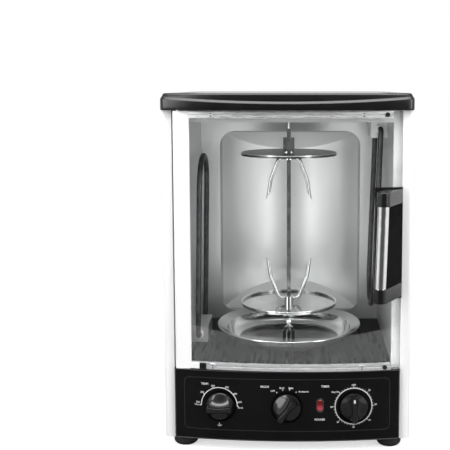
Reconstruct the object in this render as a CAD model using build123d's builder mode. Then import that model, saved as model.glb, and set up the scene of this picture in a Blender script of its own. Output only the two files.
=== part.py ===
"""Upright rotisserie oven: glass-doored cavity with two side heaters and a turning vertical spindle.

Millimetres. +Z is up, the front faces -Y, and the origin is on the table under the middle of the oven.
"""

import math
import os

from build123d import *

os.makedirs("parts", exist_ok=True)

# Case
width = 345.0
height = 497.5
front = -134.0  # front face of the two side columns
rear = front + 316.0  # outside of the back panel
sheet = 1.2
liner_sheet = 1.0
foot_height = 14.5
half = width / 2
column_inner = 157.5
column_depth = 14.0
side_top = 474.5
pan_top = foot_height + sheet

# Lid
lid_end = front - 4.0
lid_nose = front - 26.0
lid_wall = 3.0
plate_half_width = 152.0
plate_y = (front + 6.0, front + 298.0)
plate_recess = 2.0
plate_thickness = 1.0

# Control panel
panel_half = 157.0
panel_bottom = 15.0 + sheet
panel_top = 115.5
panel_end = front - 4.0
panel_nose = front - 18.0
panel_back = front + 4.5
panel_wall = 3.0
knob_x = (-93.0, 0.0, 93.0)
knob_z = 65.0
knob_radius = 19.25
knob_turn = (-90.0, 37.0, 0.0)  # pointer angle at rest, degrees clockwise from the top
recess_radius = 22.5
recess_floor = (front - 9.6, front - 14.5, front - 9.6)
knob_gap = 0.8
skirt_depth = 8.0
knob_depth = 23.0
control_shaft_radius = 3.0
shaft_hole_radius = 3.5
bracket_y = front + 20.0
lamp_x, lamp_z = 46.0, 68.0

# Cavity
cavity_half = 147.0
cavity_front = front + 6.0
cavity_rear = front + 258.0
cavity_bottom = 117.0
cavity_top = 458.0
frame_inner = 145.0
frame_y = front + 4.5
frame_sheet = 1.5

# Turning parts
spindle_y = front + 148.0
bar_side = 6.0
socket_side = 6.4
running_gap = 0.05
bar_bottom, bar_top = 122.0, 442.5
pin_radius, pin_top = 1.5, 466.0
disc_radius = 73.0
disc_sheet = 1.2
lower_disc_z, upper_disc_z = 171.3, 406.0

# Door
hinge_x = -149.0
hinge_y = front - 2.0
hinge_pin_radius = 1.8
door_bottom, door_top = 116.5, 473.5
stile_x = (-155.0, -133.0)
glass_x = (-140.0, 156.0)
glass_centre_x = 11.5
glass_radius = 775.0
glass_thickness = 4.0
glass_centre_y = front - 20.0 + glass_radius
rail_height = 9.5
rail_wall = 1.6
rail_end = 143.0
handle_z = (218.0, 371.0)
cap_height = 19.0
tube_x, tube_y, tube_radius = 126.0, front - 49.0, 7.5
handle_lean = 1.5  # degrees, the top leans to the right


def save(part, name):
    """Label a finished piece and write its STEP file."""
    part.label = name
    export_step(part, f"parts/{name}.step")


def block(x, y, z):
    """Rectangular piece between pairs of coordinates."""
    with BuildPart() as piece:
        with Locations(((x[0] + x[1]) / 2, (y[0] + y[1]) / 2, (z[0] + z[1]) / 2)):
            Box(x[1] - x[0], y[1] - y[0], z[1] - z[0])
    return piece


def rod(radius, start, end):
    """Round bar between two points."""
    axis = Vector(*end) - Vector(*start)
    with BuildPart() as piece:
        with BuildSketch(Plane(origin=start, z_dir=axis)):
            Circle(radius)
        extrude(amount=axis.length)
    return piece


# Base pan, feet and their screws
foot_spots = [(x, front + s) for x in (-144.5, 144.5) for s in (18.0, 298.0)]

with BuildPart() as foot_screws:
    with BuildSketch(Plane.XY.offset(pan_top)):
        with Locations(*foot_spots):
            Circle(4.0)
    extrude(amount=2.0)
    with BuildSketch(Plane.XY.offset(6.0)):
        with Locations(*foot_spots):
            Circle(2.0)
    extrude(amount=pan_top - 6.0)
with BuildPart() as feet:
    with BuildSketch(Plane.XY):
        with Locations(*foot_spots):
            Circle(17.3)
    extrude(amount=foot_height)
    fillet(feet.edges().group_by(Axis.Z)[0], 6.5)
    add(foot_screws.part, mode=Mode.SUBTRACT)
save(feet.part, "feet")

with BuildPart() as base_pan:
    with BuildSketch(Plane.XY.offset(foot_height)):
        with Locations((0, (front + column_depth + rear - 2 * sheet) / 2)):
            Rectangle(2 * (half - sheet), rear - 2 * sheet - front - column_depth)
        with Locations((0, (frame_y + front + column_depth) / 2)):
            Rectangle(2 * panel_half, front + column_depth - frame_y)
    extrude(amount=sheet)
    with BuildSketch(Plane.XY.offset(foot_height)):
        with Locations((0, front + 200.0)):
            with GridLocations(40.0, 12.0, 5, 6):
                SlotOverall(30.0, 4.0)
    extrude(amount=sheet, mode=Mode.SUBTRACT)
    add(foot_screws.part, mode=Mode.SUBTRACT)
save(base_pan.part, "base_pan")

# Back panel, its screws and the cord gland
screw_spots = [(x, z) for x in (-165.0, 165.0) for z in (40.0, 180.0, 320.0, 460.0)]
gland_spot = (-120.0, 60.0)

with BuildPart() as case_screws:
    with BuildSketch(Plane.XZ.offset(-rear)):
        with Locations(*screw_spots):
            Circle(3.5)
    extrude(amount=-2.0)
    with BuildSketch(Plane.XZ.offset(-rear)):
        with Locations(*screw_spots):
            Circle(1.6)
    extrude(amount=5.0)
    add(foot_screws.part)
save(case_screws.part, "case_screws")

with BuildPart() as back_panel:
    with BuildSketch(Plane.XZ.offset(-rear)):
        with Locations((0, (pan_top + side_top) / 2)):
            RectangleRounded(2 * (half - sheet), side_top - pan_top, 4.0)
        with Locations(gland_spot):
            Circle(6.5, mode=Mode.SUBTRACT)
        for vent_z in (70.0, 445.0):
            with Locations((0, vent_z)):
                with GridLocations(42.0, 9.0, 4, 5):
                    SlotOverall(34.0, 3.5, mode=Mode.SUBTRACT)
    extrude(amount=sheet)
    add(case_screws.part, mode=Mode.SUBTRACT)
save(back_panel.part, "back_panel")

with BuildPart() as cord_gland:
    with BuildSketch(Plane.XZ.offset(-(rear - 8.0))):
        with Locations(gland_spot):
            Circle(6.5)
    extrude(amount=-18.0)
    with BuildSketch(Plane.XZ.offset(-rear)):
        with Locations(gland_spot):
            RegularPolygon(10.0, 6)
    extrude(amount=-3.0)
    with BuildSketch(Plane.XZ.offset(-(rear - sheet))):
        with Locations(gland_spot):
            RegularPolygon(9.5, 6)
    extrude(amount=4.0)
    with BuildSketch(Plane.XZ.offset(-(rear - 8.0))):
        with Locations(gland_spot):
            Circle(3.2)
    extrude(amount=-18.0, mode=Mode.SUBTRACT)
    chamfer(cord_gland.edges().group_by(Axis.Y)[-1], 1.0)
save(cord_gland.part, "cord_gland")


side_middle = (front + rear) / 2


def side_panel(sign):
    """Folded sheet: front column, outer side with louvres, and rear and bottom flanges."""
    outline = [
        (column_inner, front + column_depth),
        (column_inner, front),
        (half, front),
        (half, rear - sheet),
        (column_inner + 1, rear - sheet),
        (column_inner + 1, rear - 2 * sheet),
        (half - sheet, rear - 2 * sheet),
        (half - sheet, front + sheet),
        (column_inner + sheet, front + sheet),
        (column_inner + sheet, front + column_depth),
    ]
    flange_width = half - sheet - column_inner - 1
    with BuildPart() as panel:
        with BuildSketch(Plane.XY.offset(foot_height)):
            Polygon(*[(sign * x, y) for x, y in outline], align=None)
        extrude(amount=side_top - foot_height)
        for inset, radius in ((sheet, 6.0 - sheet), (0.0, 6.0)):
            corner = (sign * (half - inset), front + inset, (foot_height + side_top) / 2)
            fillet(panel.edges().filter_by(Axis.Z).sort_by_distance(corner)[0], radius)
        with BuildSketch(Plane.XY.offset(pan_top)):
            with Locations((sign * (half - sheet - flange_width / 2), side_middle)):
                Rectangle(flange_width, rear - front - 40.0)
        extrude(amount=sheet)
        with BuildSketch(Plane.YZ.offset(sign * (half - 3.0))):
            for vent_z in (80.0, 430.0):
                with Locations((front + 205.0, vent_z)):
                    with GridLocations(58.0, 8.0, 3, 6):
                        SlotOverall(50.0, 3.0)
        extrude(amount=sign * 6.0, mode=Mode.SUBTRACT)
        add(case_screws.part, mode=Mode.SUBTRACT)
    return panel


left_side_panel = side_panel(-1)
right_side_panel = side_panel(1)
save(left_side_panel.part, "left_side_panel")
save(right_side_panel.part, "right_side_panel")


# Front frame strips around the door opening
with BuildPart() as jambs:
    with BuildSketch(Plane.XY.offset(cavity_bottom - liner_sheet)):
        Polygon((frame_inner, frame_y), (panel_half, frame_y), (panel_half, frame_y + frame_sheet),
                (frame_inner, frame_y + frame_sheet), align=None)
    extrude(amount=side_top - cavity_bottom + liner_sheet)
    with BuildSketch(Plane.XY.offset(cavity_bottom)):
        Polygon((frame_inner, frame_y), (frame_inner + sheet, frame_y), (frame_inner + sheet, frame_y + 9.0),
                (frame_inner, frame_y + 9.0), align=None)
    extrude(amount=cavity_top - cavity_bottom)
    mirror(about=Plane.YZ)
save(jambs.part, "jambs")

strip_y = (frame_y, frame_y + frame_sheet)
head_strip = block((-frame_inner, frame_inner), strip_y, (cavity_top, side_top))
sill_strip = block((-frame_inner, frame_inner), strip_y, (98.0, cavity_bottom))
save(head_strip.part, "head_strip")
save(sill_strip.part, "sill_strip")

# Cavity liner: two walls, ceiling, floor and a back with a round bay behind the spindle
wall_z = (cavity_bottom - liner_sheet, cavity_top + liner_sheet)
wall_x = (cavity_half, cavity_half + liner_sheet)
liner_y = (cavity_front, cavity_rear)
bay_radius = 160.0
bay_half = 116.5
bay_mouth_z = (130.5, 433.5)
bay_back_z = (173.0, 401.0)
bay_depth = 50.0
bay_corner = 26.0
bearing_z = (457.0, 470.0)
bearing_flange_radius = 9.0
bearing_radius = 6.0
ceiling_vent_x = 90.0

with BuildPart() as cavity_side_walls:
    with Locations((0, sum(liner_y) / 2, sum(wall_z) / 2)):
        Box(2 * wall_x[1], liner_y[1] - liner_y[0], wall_z[1] - wall_z[0])
        Box(2 * wall_x[0], liner_y[1] - liner_y[0], wall_z[1] - wall_z[0], mode=Mode.SUBTRACT)
save(cavity_side_walls.part, "cavity_side_walls")

with BuildPart() as cavity_ceiling:
    with BuildSketch(Plane.XY.offset(cavity_top)):
        with Locations((0, (cavity_front + cavity_rear) / 2)):
            Rectangle(2 * cavity_half, cavity_rear - cavity_front)
        with Locations((0, spindle_y)):
            Circle(bearing_radius, mode=Mode.SUBTRACT)
        with Locations((-ceiling_vent_x, cavity_rear - 40.0), (ceiling_vent_x, cavity_rear - 40.0)):
            with GridLocations(7.0, 7.0, 5, 3):
                Circle(2.0, mode=Mode.SUBTRACT)
    extrude(amount=liner_sheet)
save(cavity_ceiling.part, "cavity_ceiling")

with BuildPart() as cavity_floor:
    with BuildSketch(Plane.XY.offset(cavity_bottom)):
        with Locations((0, (cavity_front + cavity_rear) / 2)):
            Rectangle(2 * cavity_half, cavity_rear - cavity_front)
        with Locations((0, spindle_y)):
            Circle(4.5, mode=Mode.SUBTRACT)
    extrude(amount=-liner_sheet)
save(cavity_floor.part, "cavity_floor")


def bay_form(grow, start_y):
    """Solid of the bay's inner space, grown outward by the sheet thickness."""
    run = bay_depth + 1.0
    top_slope = (bay_back_z[1] - bay_mouth_z[1]) / bay_depth
    bottom_slope = (bay_back_z[0] - bay_mouth_z[0]) / bay_depth
    lead = cavity_rear - start_y
    end_y = cavity_rear + run
    profile = [
        (start_y, bay_mouth_z[0] - grow - lead * bottom_slope),
        (start_y, bay_mouth_z[1] + grow - lead * top_slope),
        (end_y, bay_mouth_z[1] + grow + run * top_slope),
        (end_y, bay_mouth_z[0] - grow + run * bottom_slope),
    ]
    with BuildPart() as form:
        with BuildSketch(Plane.XY.offset(bay_mouth_z[0] - 10.0)):
            with Locations((0, spindle_y)):
                Circle(bay_radius + grow)
        extrude(amount=bay_mouth_z[1] - bay_mouth_z[0] + 20.0)
        with BuildSketch(Plane.YZ.offset(-bay_half - grow)):
            Polygon(*profile, align=None)
        extrude(amount=2 * (bay_half + grow), mode=Mode.INTERSECT)
        with BuildSketch(Plane.XZ.offset(-end_y)):
            with Locations((0, sum(bay_mouth_z) / 2)):
                RectangleRounded(2 * (bay_half + grow), bay_mouth_z[1] - bay_mouth_z[0] + 2 * grow,
                                 bay_corner + grow)
        extrude(amount=end_y - start_y, mode=Mode.INTERSECT)
    return form


bay_space = bay_form(0.0, cavity_rear - 1.0)
bay_shell = bay_form(liner_sheet, cavity_rear)

with BuildPart() as cavity_back:
    with BuildSketch(Plane.XZ.offset(-cavity_rear)):
        with Locations((0, sum(wall_z) / 2)):
            Rectangle(2 * wall_x[1], wall_z[1] - wall_z[0])
    extrude(amount=-liner_sheet)
    add(bay_shell.part)
    add(bay_space.part, mode=Mode.SUBTRACT)
save(cavity_back.part, "cavity_back")

# Heaters: a U-shaped tube on each side wall, held by a sheet bracket and four ceramic bushes
heater_radius = 4.0
heater_leg_gap = 99.0
heater_y = front + 149.5
bush_radius = 6.0
bush_length = 8.0
bracket_x = (123.0, cavity_half)
bracket_half_depth = 31.5
bracket_low_z = (cavity_bottom, 143.0)
bracket_high_z = (430.0, cavity_top)
left_terminal_z, left_bend_z = 130.0, 401.0
right_terminal_z, right_bend_z = 443.5, 172.0
left_terminal_x, left_bend_x = -136.0, -131.0
right_terminal_x, right_bend_x = 136.0, 127.0


def heater(terminal_x, terminal_z, bend_x, bend_z):
    """Sheathed tube: in through the bracket, along one leg, round the bend and back."""
    lean = Vector(bend_x - terminal_x, 0, bend_z - terminal_z)
    plane = Plane(origin=(terminal_x, heater_y, terminal_z), x_dir=(0, 1, 0),
                  z_dir=Vector(0, 1, 0).cross(lean))
    leg = heater_leg_gap / 2
    tip = bracket_half_depth - 6.0
    bend = leg - 0.1
    with BuildPart() as tube:
        with BuildLine(plane) as route:
            FilletPolyline((-tip, 0), (-leg, 0), (-leg, lean.length), (leg, lean.length), (leg, 0), (tip, 0),
                           radius=[8.0, bend, bend, 8.0])
        start = route.wire() @ 0
        with BuildSketch(Plane(origin=start, z_dir=(0, 1, 0))):
            Circle(heater_radius)
        sweep()
    return tube


left_heater = heater(left_terminal_x, left_terminal_z, left_bend_x, left_bend_z)
right_heater = heater(right_terminal_x, right_terminal_z, right_bend_x, right_bend_z)
save(left_heater.part, "left_heater")
save(right_heater.part, "right_heater")

bush_spots = [(left_terminal_x, left_terminal_z), (right_terminal_x, right_terminal_z)]

with BuildPart() as heater_bushes:
    for side in (-1, 1):
        bush_start = heater_y + side * (bracket_half_depth - 4.0)
        with BuildSketch(Plane(origin=(0, bush_start, 0), x_dir=(1, 0, 0), z_dir=(0, -1, 0))):
            with Locations(*bush_spots):
                Circle(bush_radius)
                Circle(heater_radius, mode=Mode.SUBTRACT)
        extrude(amount=-side * bush_length)
save(heater_bushes.part, "heater_bushes")

with BuildPart() as heater_brackets:
    for sign, z_range in ((-1, bracket_low_z), (1, bracket_high_z)):
        middle = (sign * sum(bracket_x) / 2, heater_y, sum(z_range) / 2)
        with Locations(middle):
            Box(bracket_x[1] - bracket_x[0], 2 * bracket_half_depth, z_range[1] - z_range[0])
        with Locations((middle[0] + sign * sheet, middle[1], middle[2])):
            Box(bracket_x[1] - bracket_x[0], 2 * (bracket_half_depth - sheet),
                z_range[1] - z_range[0] - 2 * sheet, mode=Mode.SUBTRACT)
    with BuildSketch(Plane.XZ.offset(-(heater_y + 60.0))):
        with Locations(*bush_spots):
            Circle(bush_radius)
    extrude(amount=120.0, mode=Mode.SUBTRACT)
save(heater_brackets.part, "heater_brackets")

# Drive motor under the floor and its output socket
motor_radius = 25.0
motor_z = (76.0, 100.0)
neck_radius = 6.0
drive_shaft_radius = 3.0
socket_radius = 6.5
socket_z = (117.6, 134.0)
floor_underside = cavity_bottom - liner_sheet

with BuildPart() as drive_motor:
    with BuildSketch(Plane.XY.offset(motor_z[0])):
        with Locations((0, spindle_y)):
            Circle(motor_radius)
    extrude(amount=motor_z[1] - motor_z[0])
    fillet(drive_motor.edges().group_by(Axis.Z)[0], 2.0)
    with BuildSketch(Plane.XY.offset(motor_z[1])):
        with Locations((0, spindle_y)):
            Circle(neck_radius)
    extrude(amount=4.0)
    with BuildSketch(Plane.XY.offset(motor_z[1] + 4.0)):
        with Locations((0, spindle_y)):
            Circle(drive_shaft_radius + running_gap)
    extrude(amount=-20.0, mode=Mode.SUBTRACT)
save(drive_motor.part, "drive_motor")

with BuildPart() as motor_bracket:
    with BuildSketch(Plane.XZ.offset(-(spindle_y + 18.0))):
        with BuildLine():
            flange = Line((-52, floor_underside), (-38, floor_underside))
            Polyline(flange @ 1, (-38, motor_z[1] + sheet), (38, motor_z[1] + sheet), (38, floor_underside),
                     (52, floor_underside), (52, floor_underside - sheet),
                     (38 + sheet, floor_underside - sheet), (38 + sheet, motor_z[1]),
                     (-38 - sheet, motor_z[1]), (-38 - sheet, floor_underside - sheet),
                     (-52, floor_underside - sheet), flange @ 0)
        make_face()
    extrude(amount=36.0)
    with BuildSketch(Plane.XY.offset(motor_z[1])):
        with Locations((0, spindle_y)):
            Circle(neck_radius)
    extrude(amount=sheet, mode=Mode.SUBTRACT)
save(motor_bracket.part, "motor_bracket")

with BuildPart() as drive_socket:
    with BuildSketch(Plane.XY.offset(motor_z[0] + 12.0)):
        with Locations((0, spindle_y)):
            Circle(drive_shaft_radius)
    extrude(amount=socket_z[0] - motor_z[0] - 12.0)
    with BuildSketch(Plane.XY.offset(socket_z[0])):
        with Locations((0, spindle_y)):
            Circle(socket_radius)
    extrude(amount=socket_z[1] - socket_z[0])
    with BuildSketch(Plane.XY.offset(bar_bottom)):
        with Locations((0, spindle_y)):
            Rectangle(socket_side, socket_side)
    extrude(amount=socket_z[1] - bar_bottom, mode=Mode.SUBTRACT)
    chamfer(drive_socket.edges().filter_by(GeomType.CIRCLE).group_by(Axis.Z)[-1], 1.0)
save(drive_socket.part, "drive_socket")

# Spindle: square bar with a round pin that turns in the ceiling bearing
with BuildPart() as spindle_bar:
    with BuildSketch(Plane.XY.offset(bar_bottom)):
        with Locations((0, spindle_y)):
            Rectangle(bar_side, bar_side)
    extrude(amount=bar_top - bar_bottom)
    chamfer(spindle_bar.faces().sort_by(Axis.Z)[0].edges(), 0.8)
    with BuildSketch(Plane.XY.offset(bar_top)):
        with Locations((0, spindle_y)):
            Circle(pin_radius)
    extrude(amount=pin_top - bar_top)
    chamfer(spindle_bar.faces().sort_by(Axis.Z)[-1].edges(), 0.4)
save(spindle_bar.part, "spindle_bar")

with BuildPart() as spindle_bearing:
    with BuildSketch(Plane.XY.offset(bearing_z[0])):
        with Locations((0, spindle_y)):
            Circle(bearing_flange_radius)
    extrude(amount=cavity_top - bearing_z[0])
    with BuildSketch(Plane.XY.offset(cavity_top)):
        with Locations((0, spindle_y)):
            Circle(bearing_radius)
    extrude(amount=bearing_z[1] - cavity_top)
    with BuildSketch(Plane.XY.offset(bearing_z[0])):
        with Locations((0, spindle_y)):
            Circle(pin_radius + running_gap)
    extrude(amount=bearing_z[1] - bearing_z[0], mode=Mode.SUBTRACT)
save(spindle_bearing.part, "spindle_bearing")

# Forks: each disc carries a clamp block on its outer side and two prongs on its inner side
clamp_side = 17.0
clamp_gap = 2.0
clamp_far = 23.0
flange_radius = 10.5
boss_radius = 7.0
boss_height = 11.0
prong_radius = 3.0
prong_root = 7.8
prong_route = [(5.5, prong_root), (15.0, prong_root), (28.0, 42.7), (34.0, 84.0)]
prong_point = (75.5, 61.0)  # height of the tip on the outer side and of the cut on the inner side
rim_height = 3.0
rim_wall = 1.2
skewer_circle = 60.0
screw_height = 12.5
thumbscrew_radius = 2.0


def fork_disc(z, inward):
    """Round plate with a rim turned towards the food and a ring of skewer holes."""
    face = z - inward * disc_sheet / 2
    with BuildPart() as disc:
        with BuildSketch(Plane.XY.offset(face)):
            with Locations((0, spindle_y)):
                Circle(disc_radius)
                Circle(boss_radius, mode=Mode.SUBTRACT)
                with PolarLocations(skewer_circle, 8):
                    Circle(1.6, mode=Mode.SUBTRACT)
        extrude(amount=inward * disc_sheet)
        with BuildSketch(Plane.XY.offset(face)):
            with Locations((0, spindle_y)):
                Circle(disc_radius)
                Circle(disc_radius - rim_wall, mode=Mode.SUBTRACT)
        extrude(amount=inward * (rim_height + disc_sheet))
    return disc


def thumbscrew(z, inward):
    """Knurled screw that enters the clamp block from the rear and bears on the bar."""
    height = z - inward * screw_height
    head_y = spindle_y + clamp_side / 2 + 1.0
    with BuildPart() as screw:
        with BuildSketch(Plane.XZ.offset(-(spindle_y + socket_side / 2))):
            with Locations((0, height)):
                Circle(thumbscrew_radius)
        extrude(amount=-(clamp_side / 2 + 1.0 - socket_side / 2))
        with BuildSketch(Plane.XZ.offset(-head_y)):
            with Locations((0, height)):
                Circle(5.5)
                with PolarLocations(5.5, 18):
                    Circle(0.45, mode=Mode.SUBTRACT)
        extrude(amount=-7.0)
    return screw


def fork_hub(z, inward):
    """Clamp block, flange and boss in one piece, with a square hole for the bar."""
    with BuildPart() as hub:
        with BuildSketch(Plane.XY.offset(z - inward * clamp_gap)):
            with Locations((0, spindle_y)):
                Rectangle(clamp_side, clamp_side)
        extrude(amount=-inward * (clamp_far - clamp_gap))
        with BuildSketch(Plane.XY.offset(z)):
            with Locations((0, spindle_y)):
                Circle(flange_radius)
        extrude(amount=-inward * clamp_gap)
        with BuildSketch(Plane.XY.offset(z)):
            with Locations((0, spindle_y)):
                Circle(boss_radius)
        extrude(amount=inward * boss_height)
        with BuildSketch(Plane.XY.offset(z - inward * clamp_far)):
            with Locations((0, spindle_y)):
                Rectangle(socket_side, socket_side)
        extrude(amount=inward * (clamp_far + boss_height), mode=Mode.SUBTRACT)
        with BuildSketch(Plane.XZ.offset(-spindle_y)):
            with Locations((0, z - inward * screw_height)):
                Circle(thumbscrew_radius + running_gap)
        extrude(amount=-clamp_side, mode=Mode.SUBTRACT)
        add(fork_disc(z, inward).part, mode=Mode.SUBTRACT)
    return hub


def fork_prongs(z, inward):
    """Two bent rods whose outer ends are cut to a slant point."""
    with BuildPart() as prongs:
        with BuildLine(Plane.XZ.offset(-spindle_y)):
            FilletPolyline(*[(x, z + inward * rise) for x, rise in prong_route], radius=[8.0, 30.0])
        with BuildSketch(Plane(origin=(prong_route[0][0], spindle_y, z + inward * prong_root),
                               z_dir=(1, 0, 0))):
            Circle(prong_radius)
        sweep()
        tip_x = prong_route[-1][0]
        outer_point = Vector(tip_x + prong_radius, spindle_y, z + inward * prong_point[0])
        inner_point = Vector(tip_x - 2 * prong_radius, spindle_y, z + inward * prong_point[1])
        slant = Vector(0, 1, 0).cross(outer_point - inner_point)
        split(bisect_by=Plane(origin=outer_point, z_dir=slant),
              keep=Keep.TOP if slant.Z * inward < 0 else Keep.BOTTOM)
        mirror(about=Plane.YZ)
        add(fork_hub(z, inward).part, mode=Mode.SUBTRACT)
    return prongs


for name, z, inward in (("lower", lower_disc_z, 1), ("upper", upper_disc_z, -1)):
    save(fork_disc(z, inward).part, f"{name}_disc")
    save(fork_hub(z, inward).part, f"{name}_fork_hub")
    save(fork_prongs(z, inward).part, f"{name}_prongs")
    save(thumbscrew(z, inward).part, f"{name}_thumbscrew")

# Drip tray: spun bowl with a wide sloping flange, a rolled edge and a raised collar round the drive socket
collar_inner, collar_outer = 8.2, 9.4
collar_top = 128.0
tray_sheet = 0.9
tray_floor = cavity_bottom + 0.3
tray_floor_radius = 76.0
flange_inner = (95.6, 135.5)
tray_rim = (111.0, 141.5)

with BuildPart() as drip_tray:
    with BuildSketch(Plane.XZ.offset(-spindle_y)):
        with BuildLine():
            floor_top = tray_floor + tray_sheet
            under_flange = (flange_inner[0] + 0.9, flange_inner[1] - 1.0)
            Polyline((collar_inner, tray_floor), (tray_floor_radius, tray_floor))
            ThreePointArc((tray_floor_radius, tray_floor), (89.5, 122.6), under_flange)
            Polyline(under_flange, (tray_rim[0] - 0.8, tray_rim[1] - 1.8), (tray_rim[0], tray_rim[1] - 1.8),
                     tray_rim, (tray_rim[0] - 1.6, tray_rim[1]), flange_inner)
            ThreePointArc(flange_inner, (88.6, 123.4), (tray_floor_radius, floor_top))
            Polyline((tray_floor_radius, floor_top), (collar_outer, floor_top),
                     (collar_outer, collar_top), (collar_inner, collar_top), (collar_inner, tray_floor))
        make_face()
    revolve(axis=Axis((0, spindle_y, 0), (0, 0, 1)))
save(drip_tray.part, "drip_tray")

# Door glass, stile, rails, hinge pins and screws. Everything follows the curve of the glass.
def glass_point(x, radius):
    """Point at x on a circle about the glass's own centre of curvature."""
    return (x, glass_centre_y - math.sqrt(radius**2 - (x - glass_centre_x) ** 2))


def glass_band(x, front_radius, back_radius, z):
    """Slice of curved sheet between two radii, two x positions and two heights."""
    middle = (x[0] + x[1]) / 2
    with BuildPart() as band:
        with BuildSketch(Plane.XY.offset(z[0])):
            with BuildLine():
                ThreePointArc(*[glass_point(at, front_radius) for at in (x[0], middle, x[1])])
                Line(glass_point(x[1], front_radius), glass_point(x[1], back_radius))
                ThreePointArc(*[glass_point(at, back_radius) for at in (x[1], middle, x[0])])
                Line(glass_point(x[0], back_radius), glass_point(x[0], front_radius))
            make_face()
        extrude(amount=z[1] - z[0])
    return band


glass_back_radius = glass_radius - glass_thickness
glass_z = (door_bottom + 1.5, door_top - 1.5)
glass_blank = glass_band(glass_x, glass_radius, glass_back_radius, glass_z)

rail_screw_x = 135.0
rail_screw_z = (door_bottom + 4.6, door_top - 4.6)
handle_screw_x = 145.0
handle_screw_z = (handle_z[0] + 12.5, handle_z[1] - 11.5)

with BuildPart() as door_screws:
    for spots, head_y, head_radius, head_depth, reach in (
        ([(rail_screw_x, z) for z in rail_screw_z], front - 13.4, 3.2, 3.0, 10.0),
        ([(handle_screw_x, z) for z in handle_screw_z], front - 2.2, 3.5, -2.8, -18.0),
    ):
        with BuildSketch(Plane.XZ.offset(-head_y)):
            with Locations(*spots):
                Circle(head_radius)
        extrude(amount=-head_depth)
        with BuildSketch(Plane.XZ.offset(-head_y)):
            with Locations(*spots):
                Circle(1.7)
        extrude(amount=-reach)
save(door_screws.part, "door_screws")

with BuildPart() as hinge_pins:
    for z in ((109.0, 124.0), (466.0, 479.0)):
        with BuildSketch(Plane.XY.offset(z[0])):
            with Locations((hinge_x, hinge_y)):
                Circle(hinge_pin_radius)
        extrude(amount=z[1] - z[0])
    chamfer(hinge_pins.faces().sort_by(Axis.Z)[0].edges(), 0.5)
    chamfer(hinge_pins.faces().sort_by(Axis.Z)[-1].edges(), 0.5)
save(hinge_pins.part, "hinge_pins")

with BuildPart() as door_glass:
    add(glass_blank.part)
    add(door_screws.part, mode=Mode.SUBTRACT)
save(door_glass.part, "door_glass")

with BuildPart() as door_stile:
    with BuildSketch(Plane.XY.offset(door_bottom)):
        with Locations(((stile_x[0] + stile_x[1]) / 2, front - 3.0)):
            Rectangle(stile_x[1] - stile_x[0], 10.0)
    extrude(amount=door_top - door_bottom)
    fillet(door_stile.edges().filter_by(Axis.Z).group_by(Axis.X)[0].sort_by(Axis.Y)[0], 4.5)
    fillet(door_stile.edges().filter_by(Axis.Z).group_by(Axis.X)[0], 3.0)
    fillet(door_stile.edges().filter_by(Axis.Z).group_by(Axis.X)[-1].sort_by(Axis.Y)[0], 1.2)
    add(glass_blank.part, mode=Mode.SUBTRACT)
    add(hinge_pins.part, mode=Mode.SUBTRACT)
save(door_stile.part, "door_stile")


def door_rail(z):
    """Channel that grips the top or the bottom edge of the glass."""
    channel = glass_band((stile_x[1], rail_end), glass_radius + rail_wall, glass_back_radius - rail_wall, z)
    with BuildPart() as rail:
        add(channel.part)
        add(glass_blank.part, mode=Mode.SUBTRACT)
        add(door_screws.part, mode=Mode.SUBTRACT)
    return rail


door_top_rail = door_rail((door_top - rail_height, door_top))
door_bottom_rail = door_rail((door_bottom, door_bottom + rail_height))
save(door_top_rail.part, "door_top_rail")
save(door_bottom_rail.part, "door_bottom_rail")

# Handle: black base plate round the free edge of the glass, two caps and a chrome tube
base_x = (119.0, 157.2)
base_thickness = 2.5
cap_radius = 9.0
cap_heel_x = (138.0, 157.0)
tube_end_gap = 3.0

base_front_radius = glass_radius + base_thickness
base_blank = glass_band(base_x, base_front_radius, glass_back_radius, handle_z)
behind_base = glass_band((base_x[0] - 4.0, base_x[1] + 1.0), base_front_radius, glass_radius - 30.0, handle_z)

with BuildPart() as handle_base:
    add(base_blank.part)
    add(glass_blank.part, mode=Mode.SUBTRACT)
    add(door_screws.part, mode=Mode.SUBTRACT)
save(handle_base.part, "handle_base")

cap_bottoms = (handle_z[0] + 3.0, handle_z[1] - 2.0 - cap_height)
handle_middle = (handle_z[0] + handle_z[1]) / 2


def tube_x_at(z):
    """X of the leaning tube's axis at a height."""
    return tube_x + (z - handle_middle) * math.tan(math.radians(handle_lean))


tube_z = (cap_bottoms[0] + tube_end_gap, cap_bottoms[1] + cap_height - tube_end_gap)
tube_blank = rod(tube_radius, *[(tube_x_at(z), tube_y, z) for z in tube_z])
tube_bore = rod(tube_radius - 1.2, *[(tube_x_at(z), tube_y, z) for z in tube_z])

with BuildPart() as handle_tube:
    add(tube_blank.part)
    add(tube_bore.part, mode=Mode.SUBTRACT)
save(handle_tube.part, "handle_tube")

with BuildPart() as handle_caps:
    for z in cap_bottoms:
        with BuildSketch(Plane.XY.offset(z)):
            with Locations((tube_x_at(z + cap_height / 2), tube_y)):
                Circle(cap_radius)
            with Locations((sum(cap_heel_x) / 2, front - 8.0)):
                Rectangle(cap_heel_x[1] - cap_heel_x[0], 2.0)
            make_hull()
        extrude(amount=cap_height)
    fillet(handle_caps.edges().group_by(Axis.Z)[-1], 1.5)
    add(behind_base.part, mode=Mode.SUBTRACT)
    add(tube_blank.part, mode=Mode.SUBTRACT)
    add(door_screws.part, mode=Mode.SUBTRACT)
save(handle_caps.part, "handle_caps")

# Magnet catch on the right jamb and its keeper on the back of the glass
catch_x = (140.0, 155.0)
catch_z = (285.0, 305.0)
door_keeper = glass_band(catch_x, glass_back_radius, glass_back_radius - 1.5, catch_z)
save(door_keeper.part, "door_keeper")

door_magnet = block(catch_x, (front - 0.2, frame_y), catch_z)
save(door_magnet.part, "door_magnet")

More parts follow.
